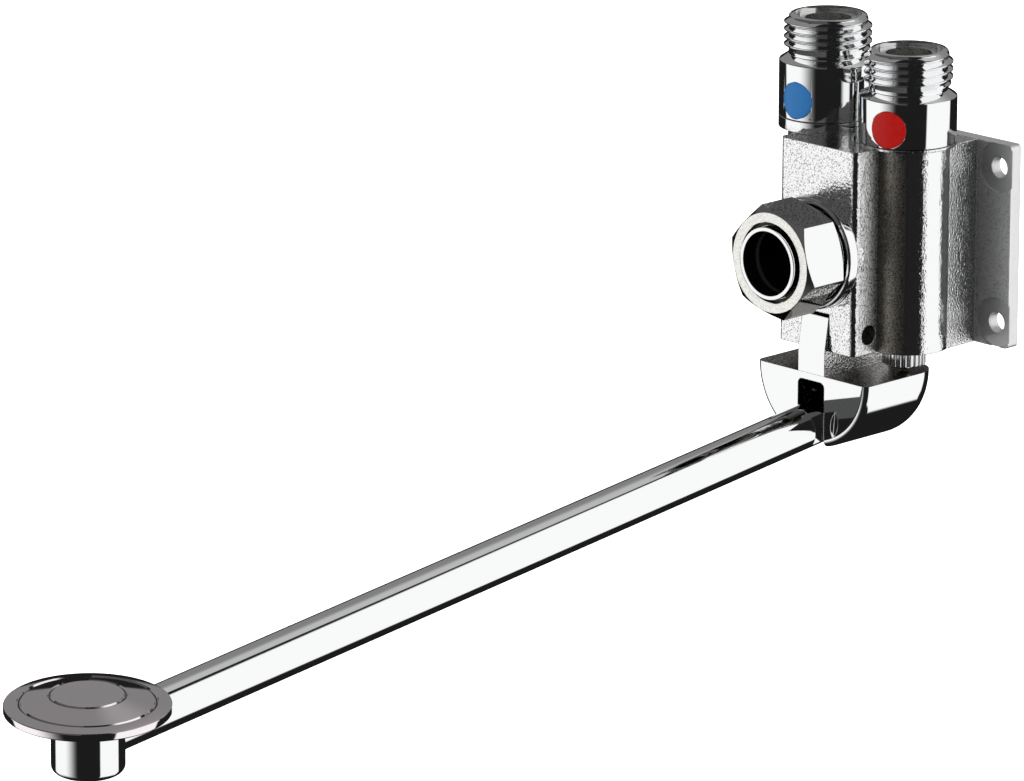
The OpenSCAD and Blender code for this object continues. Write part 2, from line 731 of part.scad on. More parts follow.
module rod_pin() {
  left = -cheek_x + 1.2;
  right = slot_w / 2 + rod_pin_blind - 0.2;
  color("darkgray") translate([left, -rod_pin_y, rod_pin_z]) rotate([0, 90, 0])
    cylinder(r = rod_pin_r, h = right - left);
}

// The round rod, its flats in the slot, and the square heel that stops it from dropping
module lever_rod() {
  past_stub = stub_d / 2 - stub_wall;
  flat_end = (-shoe_front_y - rod_pin_y + rod_flat_l) / cos(rod_slope);
  color("gainsboro") translate([0, -rod_pin_y, rod_pin_z]) difference() {
    rotate([rod_slope, 0, 0]) forwards(heel + 2) cylinder(r = rod_r, h = rod_run + heel + 2 + past_stub);
    // Everything behind the pin but the round top and the square heel
    difference() {
      rotate([rod_slope, 0, 0]) translate([-20, 0, -20]) cube([40, 40, 40]);
      crosswise() translate([0, 0, -20]) cylinder(r = rod_r, h = 40);
      translate([-20, -1, -20]) cube([40, heel + 1, 20]);
    }
    for (s = [-1, 1])
      rotate([rod_slope, 0, 0]) translate([s * (tongue_w / 2 + 5), -flat_end / 2 + 10, 0])
        cube([10, flat_end + 20, 3 * rod_r], center = true);
    translate([-10, 0, 0]) rotate([0, 90, 0]) cylinder(r = rod_pin_r + run_clear, h = 20);
    translate([0, rod_pin_y, -rod_pin_z]) at_pedal() translate([0, 0, stub_bottom - 5]) {
      cylinder(r = pedal_screw_d / 2 + seat_clear, h = stub_l + 5);
      cylinder(r = screw_head_r + seat_clear, h = 5 + screw_sink + seat_clear);
    }
  }
}

module pedal_disc() {
  middle_r = pedal_middle_d / 2;
  groove_r = pedal_groove_d / 2;
  rim_r = pedal_d / 2;
  edge = 0.3;
  color("darkgray") at_pedal() difference() {
    rotate_extrude() polygon([
      [0, -pedal_rim_t],
      [rim_r - edge, -pedal_rim_t],
      [rim_r, -pedal_rim_t + edge],
      [rim_r, -edge],
      [rim_r - edge, 0],
      [groove_r + groove_w, 0],
      [groove_r + groove_w / 2, -groove_w / 2],
      [groove_r, 0],
      [middle_r + groove_w / 2, pedal_rise],
      [middle_r, pedal_rise - groove_w / 2],
      [middle_r - groove_w / 2, pedal_rise],
      [0, pedal_rise]
    ]);
    translate([0, 0, -pedal_rim_t - 1])
      cylinder(d = pedal_screw_d, h = 1 + pedal_rim_t + pedal_rise - screw_hole_cover);
  }
}

module pedal_stub() {
  r = stub_d / 2;
  color("silver") difference() {
    at_pedal() translate([0, 0, stub_bottom]) rotate_extrude() {
      translate([0, stub_round]) square([r, stub_l - stub_round]);
      square([r - stub_round, stub_l]);
      translate([r - stub_round, stub_round]) intersection() {
        circle(r = stub_round);
        square([2 * stub_round, 2 * stub_round], center = true);
      }
    }
    translate([0, -rod_pin_y, rod_pin_z]) rotate([rod_slope, 0, 0])
      forwards(-rod_run + stub_d) cylinder(r = rod_bore_r, h = stub_d * 1.5 - stub_wall + seat_clear);
    at_pedal() translate([0, 0, stub_bottom - 1]) {
      cylinder(r = pedal_screw_d / 2 + seat_clear, h = stub_l + 2);
      cylinder(r = screw_head_r + seat_clear, h = 1 + screw_sink);
    }
  }
}

module pedal_screw() {
  tip = pedal_rise - screw_tip_cover;
  color("gray") at_pedal() difference() {
    union() {
      translate([0, 0, stub_bottom + screw_sink - screw_head_h]) cylinder(r = screw_head_r, h = screw_head_h);
      translate([0, 0, stub_bottom + 1]) cylinder(r = pedal_screw_d / 2 - 0.01, h = tip - stub_bottom - 1);
    }
    translate([0, 0, stub_bottom - 1])
      cylinder(r = screw_hex_r, h = 1 + screw_sink - screw_head_h + screw_hex_depth, $fn = 6);
  }
}

module cold_inlet_nipple() {
  color("silver") at_cold() nipple(cold_top_z, cold_collar_h, cold_index_rise, cold_index_turn);
}

module hot_inlet_nipple() {
  color("silver") at_hot() nipple(hot_top_z, hot_collar_h, hot_index_rise, hot_index_turn);
}

module cold_index_disc() {
  color("royalblue") at_cold() index_disc(cold_top_z, cold_index_rise, cold_index_turn);
}

module hot_index_disc() {
  color("firebrick") at_hot() index_disc(hot_top_z, hot_index_rise, hot_index_turn);
}

module cold_nipple_washer() { color("brown") at_cold() nipple_washer(); }
module hot_nipple_washer() { color("brown") at_hot() nipple_washer(); }
module cold_strainer() { color("lightsteelblue") at_cold() strainer(cold_end_z); }
module hot_strainer() { color("lightsteelblue") at_hot() strainer(hot_end_z); }
module cold_check_housing() { color("white") at_cold() check_housing(); }
module hot_check_housing() { color("white") at_hot() check_housing(); }
module cold_check_poppet() { color("orange") at_cold() check_poppet(); }
module hot_check_poppet() { color("orange") at_hot() check_poppet(); }
module cold_check_spring() { color("slategray") at_cold() check_spring(); }
module hot_check_spring() { color("slategray") at_hot() check_spring(); }
module cold_valve_seat() { color("goldenrod") at_cold() valve_seat(); }
module hot_valve_seat() { color("goldenrod") at_hot() valve_seat(); }
module cold_valve_stem() { color("lightgray") at_cold() valve_stem(); }
module hot_valve_stem() { color("lightgray") at_hot() valve_stem(); }
module cold_valve_washer() { color("black") at_cold() valve_washer(); }
module hot_valve_washer() { color("black") at_hot() valve_washer(); }
module cold_washer_cap() { color("goldenrod") at_cold() washer_cap(); }
module hot_washer_cap() { color("goldenrod") at_hot() washer_cap(); }
module cold_return_spring() { color("slategray") at_cold() return_spring(); }
module hot_return_spring() { color("slategray") at_hot() return_spring(); }
module cold_gland_nut() { color("silver") at_cold() gland_nut(); }
module hot_gland_nut() { color("silver") at_hot() gland_nut(); }
module cold_stem_seal() { color("black") at_cold() stem_seal(); }
module hot_stem_seal() { color("black") at_hot() stem_seal(); }

valve_body();
cold_inlet_nipple();
hot_inlet_nipple();
cold_index_disc();
hot_index_disc();
cold_nipple_washer();
hot_nipple_washer();
cold_strainer();
hot_strainer();
cold_check_housing();
hot_check_housing();
cold_check_poppet();
hot_check_poppet();
cold_check_spring();
hot_check_spring();
cold_valve_seat();
hot_valve_seat();
cold_valve_stem();
hot_valve_stem();
cold_valve_washer();
hot_valve_washer();
cold_washer_cap();
hot_washer_cap();
cold_return_spring();
hot_return_spring();
cold_gland_nut();
hot_gland_nut();
cold_stem_seal();
hot_stem_seal();
outlet_nut();
outlet_sleeve();
outlet_washer();
yoke_pin();
yoke_bush();
lever_yoke();
rod_pin();
lever_rod();
pedal_disc();
pedal_stub();
pedal_screw();
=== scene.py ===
"""Looks of the foot-operated tap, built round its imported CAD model. Metres, in the CAD model's frame."""

import json
import math

import bmesh
import bpy
from mathutils import Matrix, Vector


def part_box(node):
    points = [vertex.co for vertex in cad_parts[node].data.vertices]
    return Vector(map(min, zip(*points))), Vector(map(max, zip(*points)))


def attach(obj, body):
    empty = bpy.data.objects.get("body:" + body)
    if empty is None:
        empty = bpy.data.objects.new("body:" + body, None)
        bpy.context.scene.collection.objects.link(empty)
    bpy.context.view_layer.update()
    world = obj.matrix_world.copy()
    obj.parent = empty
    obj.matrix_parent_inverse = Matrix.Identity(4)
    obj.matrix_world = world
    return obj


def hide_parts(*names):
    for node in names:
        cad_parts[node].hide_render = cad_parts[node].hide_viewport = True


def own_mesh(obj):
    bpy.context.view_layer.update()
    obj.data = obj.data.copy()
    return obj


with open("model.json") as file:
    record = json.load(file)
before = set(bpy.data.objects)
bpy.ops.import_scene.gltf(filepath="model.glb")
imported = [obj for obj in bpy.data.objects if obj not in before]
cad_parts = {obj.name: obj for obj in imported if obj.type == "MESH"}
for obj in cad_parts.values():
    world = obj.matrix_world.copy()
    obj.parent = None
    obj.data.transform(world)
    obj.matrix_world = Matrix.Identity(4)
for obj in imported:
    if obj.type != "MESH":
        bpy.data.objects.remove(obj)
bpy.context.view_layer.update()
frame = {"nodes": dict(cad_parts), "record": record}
nodes = frame["nodes"]
MM = 0.001


# Sizes that the CAD model shares, in millimetres and degrees

PLATE_W = 64.8
PLATE_H = 49.3
PLATE_T = 3.4
SPOT_FACE_DEPTH = 0.4
NECK_W = 43.6
BARREL_X = 13.0
BARREL_Y = 17.4
BARREL_R = 9.8
BLOCK_W = 24.6
BLOCK_Y = 35.1
THREAD_PITCH = 1.814
THREAD_TURNS = 5
THREAD_R = 20.955 / 2
THREAD_ROOT_R = THREAD_R - 0.64 * THREAD_PITCH
COLLAR_CONE_H = 1.2
THREAD_RELIEF_H = 0.5
NIPPLE_SPIGOT_R = 8.15
CHECK_BORE_R = 7.0
CHECK_H = 11.0
INLET_BORE_R = 6.3
STRAINER_SEAT_R = 7.95
STRAINER_SEAT_DEPTH = 1.8
INDEX_R = 4.4
INDEX_PROUD = 0.15
COLD_INDEX_RISE = 5.0
HOT_INDEX_RISE = 4.7
COLD_INDEX_TURN = 3.0
HOT_INDEX_TURN = 18.5
RETURN_WIRE_D = 0.9
RETURN_COILS = 3
CHECK_WIRE_D = 0.6
CHECK_COILS = 5
OUTLET_Z = -1.1
OUTLET_BORE_R = 7.7
SLEEVE_WALL = 0.95
SLEEVE_FLANGE_R = 9.65
SLEEVE_FLANGE_T = 1.2
NUT_FLATS = 24.2
NUT_TURN = -15.0
NUT_BORE_R = 9.95
NUT_WEB_T = 0.95
NUT_RECESS_R = 9.6
NUT_RECESS_DEPTH = 1.0
WEB_W = 8.5
SHOE_TOP_Z = -30.6
ROD_PIN_Y = 24.5
ROD_PIN_Z = -41.4
ROD_SLOPE = 6.8
ROD_BELOW_RIM = 8.9
PEDAL_Y = 262.4
PEDAL_TILT = 2.0
PEDAL_ROLL = 3.0
PEDAL_R = 18.3
PEDAL_RIM_T = 2.3
PEDAL_RISE = 1.7
PEDAL_MIDDLE_R = 8.3
PEDAL_GROOVE_R = 14.6
PEDAL_GROOVE_W = 0.6


# Sizes of the looks alone, in millimetres

JOINT_H = 0.22
JOINT_GAP = 0.01
COLLAR_ROUND = 0.3
COLLAR_FOOT_ROUND = 0.1
THREAD_CHAMFER = 0.4
THREAD_DROP = 0.25
THREAD_SHORT_TURNS = 0.85
THREAD_FADE_TURNS = 0.2
CREST_ROUND = 0.05
RIDGE_SINK = 0.1
RIDGE_GAP = 0.06
POCKET_DEPTH = 0.8
POCKET_GAP = 0.12
INDEX_ROUND = 0.15
INDEX_T = 0.8
CLOSED_COIL_RISE = 1.02
NUT_CORNER_R = 0.5
NUT_FACE_INSET = 0.15
NUT_WEB_R = 8.75
NUT_SHADE_DROP = 7.1
SLEEVE_LIP = 0.1
DULL_SHADED_STRIP_R = 6.6
DULL_SHADED_STRIP_FADE = 1.2
DARK_BORE_GAP = 1.0
DARK_BORE_FRONT_Y = -48.0
DARK_BORE_BACK_Y = -5.0
PEDAL_GROOVE_DEPTH = 0.35
PEDAL_GROOVE_MOUTH = 0.9
PEDAL_GROOVE_FLOOR = 0.12
PEDAL_GROOVE_LINE = 0.14
PEDAL_RIM_ROUND = 0.35
PEDAL_RIM_FALL = 0.45
NEAR_AXIS = 0.001


# Grain of the surfaces, in changes per metre, with its depth in millimetres

CAST_GRAIN = 1900
CAST_PATCHES = 450
CAST_PITS = 2800
NECK_GRAIN = 2300
FINE_GRAIN = 3600
NUT_GRAIN = 2600
MILLED_GRAIN = 1900
TURNED_GRAIN = 5000
CAST_DEPTH = 0.22
YOKE_DEPTH = 0.12
BARREL_STRENGTH = 0.32
FLAT_STRENGTH = 0.35
NECK_STRENGTH = 0.9


# Roughness of the chrome

TURNED_ROUGH = 0.04
SKIN_ROUGH = 0.12
BLOCK_SIDE_ROUGH = 0.34
PLATE_ROUGH = 0.46
DULL_ROUGH = 0.4
BORE_ROUGH = 0.5
FACE_ROUGH = 0.3
WEB_ROUGH = 0.2
MILLED_ROUGH = 0.3
CONE_ROUGH = 0.06
RIM_ROUGH = 0.05


# The studio's screens: edges in degrees of turn or height, and strengths

STUDIO_TURN = 40
RIGHT_TURN = (48, 118)
RIGHT_HEIGHT = (-41, 54)
RIGHT_SOFT = 2
LEFT_START = (246, 252)
LEFT_FADE = (290, 337)
LEFT_FOOT = (-55, -25)
LEFT_TOP = (2, 9)
OVER_LEFT_LIGHT = 0.07
WALL_TURN = (127, 243)
WALL_HEIGHT = (9, 70)
WALL_SOFT = 1.5
WALL_LIGHT = 0.216
BRIGHTER_HEIGHT = (25, 60)
BRIGHTER_FADE = (160, 186)
BRIGHTER_LIGHT = 0.284
ROOM_LIGHT = 0.012


# Shader helpers


def new_material(name):
    mat = bpy.data.materials.new(name)
    mat.use_nodes = True
    return mat, mat.node_tree, mat.node_tree.nodes["Principled BSDF"]


def make(tree, kind, **settings):
    node = tree.nodes.new(kind)
    for key, value in settings.items():
        setattr(node, key, value)
    return node


def feed(tree, value, socket):
    if isinstance(value, bpy.types.NodeSocket):
        tree.links.new(value, socket)
    else:
        socket.default_value = value


def math_node(tree, operation, *values):
    node = make(tree, "ShaderNodeMath", operation=operation)
    for i, value in enumerate(values):
        feed(tree, value, node.inputs[i])
    return node.outputs[0]


def chain(tree, operation, values):
    result = values[0]
    for value in values[1:]:
        result = math_node(tree, operation, result, value)
    return result


def product(tree, *values):
    return chain(tree, "MULTIPLY", values)


def total(tree, *values):
    return chain(tree, "ADD", values)


def most(tree, *values):
    return chain(tree, "MAXIMUM", values)


def rest(tree, value):
    """What the value lacks to one."""
    return math_node(tree, "SUBTRACT", 1.0, value)


def smooth(tree, value, low, high, out_low=0.0, out_high=1.0):
    """Smooth step of the value from out_low at low to out_high at high."""
    node = make(tree, "ShaderNodeMapRange", interpolation_type="SMOOTHSTEP")
    feed(tree, value, node.inputs["Value"])
    node.inputs["From Min"].default_value = low
    node.inputs["From Max"].default_value = high
    node.inputs["To Min"].default_value = out_low
    node.inputs["To Max"].default_value = out_high
    return node.outputs[0]


def smooth_down(tree, value, low, high):
    """Smooth step of the value from one at low to nought at high."""
    return smooth(tree, value, low, high, 1.0, 0.0)


def band(tree, value, low, high, soft):
    """One between low and high, and nought outside, with soft ends."""
    rise = smooth(tree, value, low - soft, low + soft)
    fall = smooth_down(tree, value, high - soft, high + soft)
    return product(tree, rise, fall)


def near(tree, value, where, half, soft):
    """One within half of where, and nought outside, with soft ends. In millimetres."""
    return band(tree, value, (where - half) * MM, (where + half) * MM, soft * MM)


def mix(tree, factor, a, b):
    """Blend of two numbers."""
    node = make(tree, "ShaderNodeMix", data_type="FLOAT")
    feed(tree, factor, node.inputs[0])
    feed(tree, a, node.inputs[2])
    feed(tree, b, node.inputs[3])
    return node.outputs[0]


def tinted(tree, factor, color, other):
    """Blend of two colours, each a plain colour or a socket."""
    node = make(tree, "ShaderNodeMix", data_type="RGBA")
    feed(tree, factor, node.inputs[0])
    feed(tree, color, node.inputs[6])
    feed(tree, other, node.inputs[7])
    return node.outputs[2]


def place(tree, matrix=None):
    """The shaded point in the object's own space or in a frame inside it, whole and as X, Y and Z."""
    coords = make(tree, "ShaderNodeTexCoord").outputs["Object"]
    if matrix:
        into = make(tree, "ShaderNodeMapping", vector_type="TEXTURE")
        tree.links.new(coords, into.inputs["Vector"])
        into.inputs["Location"].default_value = matrix.translation
        into.inputs["Rotation"].default_value = matrix.to_euler()
        coords = into.outputs[0]
    split = make(tree, "ShaderNodeSeparateXYZ")
    tree.links.new(coords, split.inputs[0])
    return coords, split.outputs[0], split.outputs[1], split.outputs[2]


def reach(tree, a, b):
    """Distance of the point (a, b) from nought."""
    return math_node(tree, "SQRT", total(tree, product(tree, a, a), product(tree, b, b)))


def from_outlet(tree, x, z):
    """Distance from the outlet's axis."""
    return reach(tree, x, total(tree, z, -OUTLET_Z * MM))


def noise(tree, coords, scale, detail):
    node = make(tree, "ShaderNodeTexNoise")
    tree.links.new(coords, node.inputs["Vector"])
    node.inputs["Scale"].default_value = scale
    node.inputs["Detail"].default_value = detail
    return node.outputs["Fac"]


def ring_noise(tree, radius, scale, detail):
    """Noise that changes along the radius alone, as a turning tool leaves it."""
    node = make(tree, "ShaderNodeTexNoise", noise_dimensions="1D")
    tree.links.new(radius, node.inputs["W"])
    node.inputs["Scale"].default_value = scale
    node.inputs["Detail"].default_value = detail
    return node.outputs["Fac"]


def bump(tree, height, distance, shader, strength=1.0, normal=None):
    node = make(tree, "ShaderNodeBump")
    feed(tree, height, node.inputs["Height"])
    node.inputs["Distance"].default_value = distance
    feed(tree, strength, node.inputs["Strength"])
    if normal is not None:
        tree.links.new(normal, node.inputs["Normal"])
    tree.links.new(node.outputs[0], shader.inputs["Normal"])


def soft_edges(tree, radius):
    """Normals rounded over the sharp edges of a CAD mesh."""
    node = make(tree, "ShaderNodeBevel", samples=6)
    node.inputs["Radius"].default_value = radius
    return node.outputs[0]


# Materials

CHROME = (0.93, 0.935, 0.94, 1)
PEDAL_CHROME = (0.93, 0.875, 0.905, 1)
SATIN_LIGHT = (0.94, 0.93, 0.89, 1)
SATIN_DARK = (0.78, 0.765, 0.72, 1)
PIT = (0.3, 0.29, 0.265, 1)
PAINTED_SHADE_DARK = (0.14, 0.13, 0.115, 1)
PAINTED_SHADE_LIGHT = (0.42, 0.395, 0.355, 1)
DEEP_PIT = (0.12, 0.115, 0.105, 1)
SHADOW = (0.03, 0.028, 0.022, 1)


def new_chrome(name):
    mat, tree, shader = new_material(name)
    shader.inputs["Base Color"].default_value = CHROME
    shader.inputs["Metallic"].default_value = 1.0
    return mat, tree, shader


def polish(tree, coords, shader, edge=0.0):
    """Faint waviness and faint wiping marks. Returns the roughness."""
    marks = smooth(tree, noise(tree, coords, 260, 3), 0.3, 0.75, 0.025, 0.075)
    normal = soft_edges(tree, edge) if edge else None
    bump(tree, noise(tree, coords, 90, 2), 0.01 * MM, shader, normal=normal)
    return marks


def chrome(name, edge):
    mat, tree, shader = new_chrome(name)
    marks = polish(tree, place(tree)[0], shader, edge)
    tree.links.new(marks, shader.inputs["Roughness"])
    return mat


def nipple_chrome(name, joint_z):
    """Polished chrome with painted shade in the joint under the collar."""
    mat, tree, shader = new_chrome(name)
    coords, _, _, z = place(tree)
    # The joint under the collar is painted near black, as shade in the crease
    joint = band(tree, z, joint_z * MM, (joint_z + JOINT_H) * MM, 0.01 * MM)
    tree.links.new(tinted(tree, joint, CHROME, SHADOW), shader.inputs["Base Color"])
    tree.links.new(polish(tree, coords, shader), shader.inputs["Roughness"])
    return mat


def nut_chrome(front_y):
    """Polished chrome with a warm satin front face, painted shade in the recess and painted shade with a
    grain on the flats' underside.
    """
    mat, tree, shader = new_chrome("polished_chrome_nut")
    coords, x, y, z = place(tree)
    from_axis = from_outlet(tree, x, z)
    grain = noise(tree, coords, NUT_GRAIN, 1)
    face = smooth_down(tree, y, front_y + 0.03 * MM, front_y + 0.06 * MM)
    satin = tinted(tree, smooth(tree, grain, 0.45, 0.6), SATIN_LIGHT, SATIN_DARK)
    # The recess is painted near black as shade
    recess_shade = product(
        tree,
        smooth_down(tree, from_axis, (NUT_RECESS_R + 0.02) * MM, (NUT_RECESS_R + 0.1) * MM),
        smooth(tree, y, front_y + 0.2 * MM, front_y + 0.3 * MM),
    )
    # The flats' lower part is painted dark as shade, with a grain
    shade_z = OUTLET_Z - NUT_SHADE_DROP
    shaded_underside = product(
        tree,
        smooth_down(tree, z, (shade_z - 0.2) * MM, shade_z * MM),
        smooth(tree, from_axis, (NUT_FLATS / 2 - 0.1) * MM, (NUT_FLATS / 2 - 0.05) * MM),
    )
    dull_and_shade = tinted(tree, smooth(tree, grain, 0.35, 0.62), SHADOW, PAINTED_SHADE_DARK)
    color = tinted(tree, shaded_underside, CHROME, dull_and_shade)
    color = tinted(tree, face, color, satin)
    tree.links.new(tinted(tree, recess_shade, color, SHADOW), shader.inputs["Base Color"])
    tree.links.new(mix(tree, face, polish(tree, coords, shader), FACE_ROUGH), shader.inputs["Roughness"])
    return mat


def bored_chrome(front_y):
    """Polished chrome whose bore behind the lip is rougher and painted near black as shade."""
    mat, tree, shader = new_chrome("polished_chrome_sleeve")
    coords, x, y, z = place(tree)
    from_axis = from_outlet(tree, x, z)
    # The bore is painted near black as shade
    inside = smooth_down(tree, from_axis, (OUTLET_BORE_R + 0.01) * MM, (OUTLET_BORE_R + 0.04) * MM)
    shaded_bore = product(tree, inside, smooth(tree, y, front_y + 0.2 * MM, front_y + 0.4 * MM))
    tree.links.new(tinted(tree, shaded_bore, CHROME, SHADOW), shader.inputs["Base Color"])
    tree.links.new(mix(tree, shaded_bore, polish(tree, coords, shader), BORE_ROUGH), shader.inputs["Roughness"])
    return mat


def cast_skin(tree, coords):
    """Height and pits of a sand-cast skin: half-millimetre grain, some of it deeper."""
    deeper = smooth(tree, noise(tree, coords, CAST_PATCHES, 1), 0.4, 0.7, 0.75, 1.3)
    pits = smooth(tree, noise(tree, coords, CAST_PITS, 2), 0.5, 0.66)
    return product(tree, noise(tree, coords, CAST_GRAIN, 1), deeper), pits


def cast_chrome():
    """Chrome over a sand-cast skin, smooth where the casting is turned."""
    mat, tree, shader = new_chrome("rough_cast_chrome")
    coords, x, y, z = place(tree)
    beside = math_node(tree, "ABSOLUTE", x)
    corner_y = BARREL_Y + BARREL_R
    outlet = smooth_down(tree, y, -(BLOCK_Y + 0.1) * MM, -(BLOCK_Y + 0.04) * MM)
    bosses = smooth(tree, z, (PLATE_H / 2 - 0.25) * MM, (PLATE_H / 2 + 1.75) * MM)
    spot_faces = near(tree, y, SPOT_FACE_DEPTH - PLATE_T, 0.2, 0.02)
    turned = most(tree, outlet, bosses, spot_faces)
    skin = rest(tree, turned)
    # The round barrels have no pits, and their grain is a little lower
    from_barrel = reach(tree, total(tree, beside, -BARREL_X * MM), total(tree, y, BARREL_Y * MM))
    flat = smooth(tree, from_barrel, (BARREL_R + 0.06) * MM, (BARREL_R + 0.2) * MM)
    plate = smooth(tree, y, -(PLATE_T + 0.3) * MM, -(PLATE_T + 0.2) * MM)
    plate_edge = smooth(tree, beside, (PLATE_W / 2 - 0.1) * MM, (PLATE_W / 2 - 0.04) * MM)
    neck = product(tree, near(tree, beside, NECK_W / 2, 0.1, 0.02), skin)
    block_side = product(
        tree,
        near(tree, beside, BLOCK_W / 2, 0.1, 0.02),
        smooth_down(tree, y, -(corner_y + 0.1) * MM, -corner_y * MM),
    )
    # A rougher strip on each barrel, in the corner beside the block, painted darker as shade
    from_corner = reach(tree, total(tree, beside, -BLOCK_W / 2 * MM), total(tree, y, corner_y * MM))
    shaded_strip = smooth_down(tree, from_corner, DULL_SHADED_STRIP_R * MM, (DULL_SHADED_STRIP_R + DULL_SHADED_STRIP_FADE) * MM)
    dull_and_shade = product(tree, shaded_strip, rest(tree, flat), skin)
    # The bore behind the outlet is rougher and painted near black as shade
    dark_r = OUTLET_BORE_R + DARK_BORE_GAP
    inside = smooth_down(tree, from_outlet(tree, x, z), dark_r * MM, (dark_r + 0.1) * MM)
    shaded_bore = product(tree, inside, smooth_down(tree, y, DARK_BORE_FRONT_Y * MM, DARK_BORE_BACK_Y * MM))
    shaded_bore = math_node(tree, "GREATER_THAN", shaded_bore, 0.01)
    height, pits = cast_skin(tree, coords)
    height = mix(tree, neck, height, noise(tree, coords, NECK_GRAIN, 1))
    pit_share = product(tree, mix(tree, plate, flat, 0.35), mix(tree, plate_edge, 1.0, 0.15))
    fine = smooth(tree, noise(tree, coords, FINE_GRAIN, 1), 0.35, 0.62)
    # The corner strip is painted darker as shade, with a fine grain
    color = tinted(tree, dull_and_shade, CHROME, tinted(tree, fine, PAINTED_SHADE_DARK, PAINTED_SHADE_LIGHT))
    color = tinted(tree, product(tree, pits, pit_share, skin), color, PIT)
    # The bore behind the outlet is painted near black as shade
    tree.links.new(tinted(tree, shaded_bore, color, SHADOW), shader.inputs["Base Color"])
    satin = most(tree, plate, block_side)
    rough = mix(tree, satin, SKIN_ROUGH, mix(tree, plate, BLOCK_SIDE_ROUGH, PLATE_ROUGH))
    rough = mix(tree, turned, rough, TURNED_ROUGH)
    rough = most(
        tree,
        rough,
        product(tree, spot_faces, DULL_ROUGH),
        product(tree, dull_and_shade, DULL_ROUGH),
        product(tree, shaded_bore, BORE_ROUGH),
    )
    tree.links.new(rough, shader.inputs["Roughness"])
    strength = mix(tree, neck, mix(tree, flat, BARREL_STRENGTH, FLAT_STRENGTH), NECK_STRENGTH)
    strength = product(tree, skin, strength)
    bump(tree, height, CAST_DEPTH * MM, shader, strength, soft_edges(tree, 0.35 * MM))
    return mat


def yoke_chrome():
    """Polished chrome, with cast skin on the web's sides and cutting marks on the shoe's milled top, which
    is also painted dark as shade under the body.
    """
    mat, tree, shader = new_chrome("polished_chrome_yoke")
    coords, x, _, z = place(tree)
    web_side = near(tree, math_node(tree, "ABSOLUTE", x), WEB_W / 2, 0.05, 0.01)
    above_shoe = smooth(tree, z, (SHOE_TOP_Z - 0.02) * MM, (SHOE_TOP_Z + 0.02) * MM)
    skin = product(tree, web_side, above_shoe)
    height, pits = cast_skin(tree, coords)
    # The milled top has mottled cutting marks, and it is painted dark overall as shade under the body
    milled = near(tree, z, SHOE_TOP_Z, 0.04, 0.01)
    marks = smooth(tree, noise(tree, coords, MILLED_GRAIN, 2), 0.42, 0.6)
    color = tinted(tree, milled, CHROME, tinted(tree, marks, SHADOW, PAINTED_SHADE_LIGHT))
    color = tinted(tree, product(tree, pits, skin), color, DEEP_PIT)
    tree.links.new(color, shader.inputs["Base Color"])
    rough = mix(tree, skin, TURNED_ROUGH, WEB_ROUGH)
    rough = most(tree, rough, product(tree, milled, MILLED_ROUGH))
    tree.links.new(rough, shader.inputs["Roughness"])
    bump(tree, height, YOKE_DEPTH * MM, shader, skin, soft_edges(tree, 0.25 * MM))
    return mat


def turned_chrome(disc):
    """Chrome turned in fine rings about the pedal's axis, smoother on the cone and the rim."""
    mat, tree, shader = new_chrome("turned_chrome")
    _, x, y, _ = place(tree, disc)
    radius = reach(tree, x, y)
    rings = ring_noise(tree, radius, TURNED_GRAIN, 3)
    cone = smooth(tree, radius, (PEDAL_MIDDLE_R - 0.2) * MM, PEDAL_MIDDLE_R * MM)
    rim_side = smooth(tree, radius, (PEDAL_R - 0.4) * MM, (PEDAL_R - 0.1) * MM)
    # The grooves' lines are painted near black as shade
    groove_shade = total(
        tree,
        near(tree, radius, PEDAL_MIDDLE_R, PEDAL_GROOVE_LINE, 0.03),
        near(tree, radius, PEDAL_GROOVE_R + PEDAL_GROOVE_W / 2, PEDAL_GROOVE_LINE, 0.03),
    )
    tree.links.new(tinted(tree, groove_shade, PEDAL_CHROME, SHADOW), shader.inputs["Base Color"])
    rough = mix(tree, cone, smooth(tree, rings, 0.3, 0.7, 0.12, 0.22), CONE_ROUGH)
    tree.links.new(mix(tree, rim_side, rough, RIM_ROUGH), shader.inputs["Roughness"])
    bump(tree, rings, 0.003 * MM, shader)
    return mat


def plain(name, color, roughness, metallic=0.0, specular=0.5):
    """Moulded or drawn material with a fine uneven sheen."""
    mat, tree, shader = new_material(name)
    shader.inputs["Base Color"].default_value = (*color, 1)
    shader.inputs["Metallic"].default_value = metallic
    shader.inputs["Specular IOR Level"].default_value = specular
    shade = noise(tree, place(tree)[0], 900, 3)
    sheen = smooth(tree, shade, 0.3, 0.7, roughness * 0.85, roughness * 1.15)
    tree.links.new(sheen, shader.inputs["Roughness"])
    bump(tree, shade, 0.01 * MM, shader)
    return mat


def rotation(degrees, axis):
    return Matrix.Rotation(math.radians(degrees), 4, axis)


